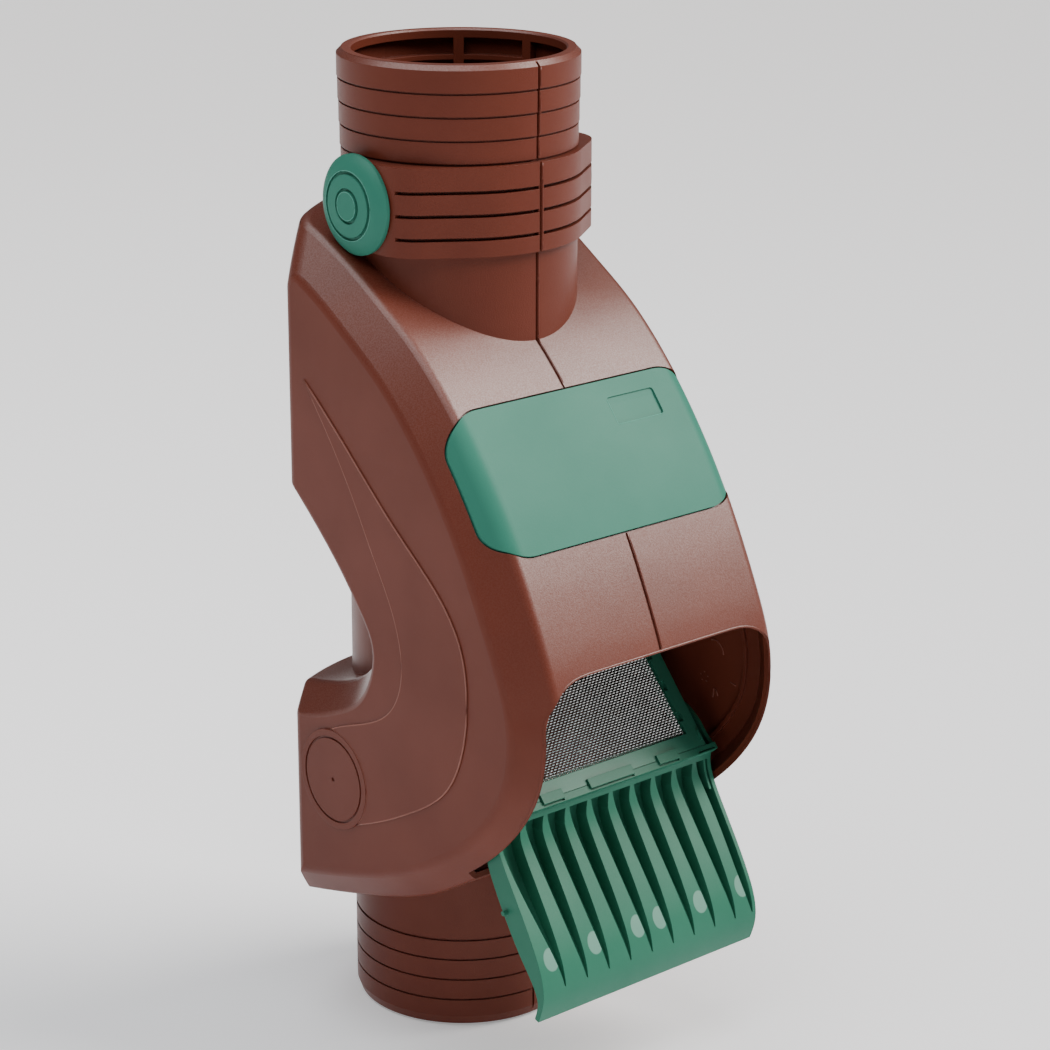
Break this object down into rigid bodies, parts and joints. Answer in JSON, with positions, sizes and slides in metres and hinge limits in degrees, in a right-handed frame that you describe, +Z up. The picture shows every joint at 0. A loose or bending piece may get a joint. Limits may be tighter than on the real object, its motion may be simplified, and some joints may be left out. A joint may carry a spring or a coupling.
{
  "type": "downpipe leaf filter",
  "caption": "Leaf filter for a round rain downpipe: split hood body with socket above and spigot below, sloping mesh sieve inside, inspection cover and ribbed leaf chute in front.",
  "frame": {"origin": "centre of the lower pipe end, on the end plane of the spigot", "axes": "+Z up along the pipe axis, leaf outlet and chute towards -Y, +X across the body, with the right shell on +X"},
  "size_m": [0.1644, 0.203, 0.4755],
  "materials": {
    "brown_plastic": "fine grained satin",
    "green_plastic": "fine grained satin",
    "frame_plastic": "satin",
    "chute_plastic": "satin",
    "mesh_steel": "woven wire"
  },
  "bodies": {
    "root": {"left_spigot": "brown_plastic", "left_shell": "brown_plastic", "left_socket": "brown_plastic", "right_spigot": "brown_plastic", "right_shell": "brown_plastic", "right_socket": "brown_plastic", "left_side_cap": "green_plastic", "right_side_cap": "green_plastic", "inspection_cover": "green_plastic", "sieve_frame": "frame_plastic", "sieve_mesh": "mesh_steel", "leaf_chute": "chute_plastic"}
  },
  "joints": []
}
